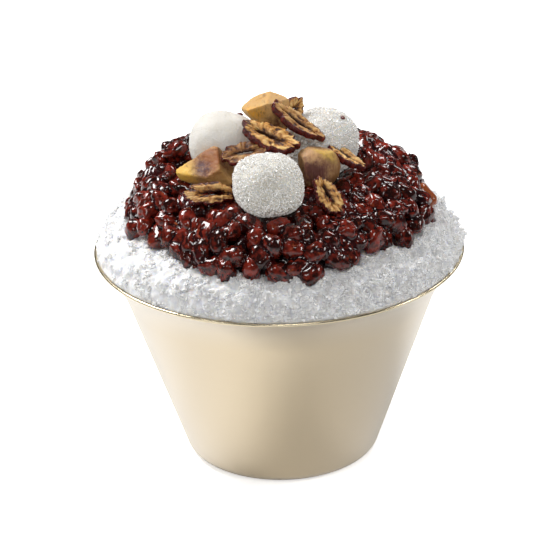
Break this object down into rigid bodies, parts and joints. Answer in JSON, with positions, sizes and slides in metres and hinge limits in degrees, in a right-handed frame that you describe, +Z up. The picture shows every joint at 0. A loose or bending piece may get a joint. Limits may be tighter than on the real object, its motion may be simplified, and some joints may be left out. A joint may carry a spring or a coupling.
{
  "type": "bingsu",
  "caption": "Spun steel dessert bowl filled with shaved milk ice, heaped with sweet red beans, sugared rice cakes, chestnut pieces and dried jujube slices.",
  "frame": {"origin": "centre of the bowl's flat base, on the surface it stands on", "axes": "+Z up out of the bowl, -Y towards the side that the front rice cake is on"},
  "size_m": [0.1496, 0.15, 0.1536],
  "materials": {
    "bowl": "satin, champagne tone, polished rim",
    "shaved_ice": "granular snow",
    "red_beans": "glossy syrup over dark red skins",
    "rice_cake": "soft white dough dusted with sugar",
    "chestnut": "boiled flesh, yellow with brown marbling",
    "jujube": "dried porous flesh with a wrinkled dark red skin"
  },
  "bodies": {
    "root": {"bowl": "bowl", "shaved_ice": "shaved_ice", "red_beans": "red_beans", "rice_cake_front": "rice_cake", "rice_cake_left": "rice_cake", "rice_cake_right": "rice_cake", "chestnut_left": "chestnut", "chestnut_right": "chestnut", "chestnut_top": "chestnut", "jujube_middle": "jujube", "jujube_leaning": "jujube", "jujube_back": "jujube", "jujube_between": "jujube", "jujube_left": "jujube", "jujube_front": "jujube", "jujube_right": "jujube"}
  },
  "joints": []
}
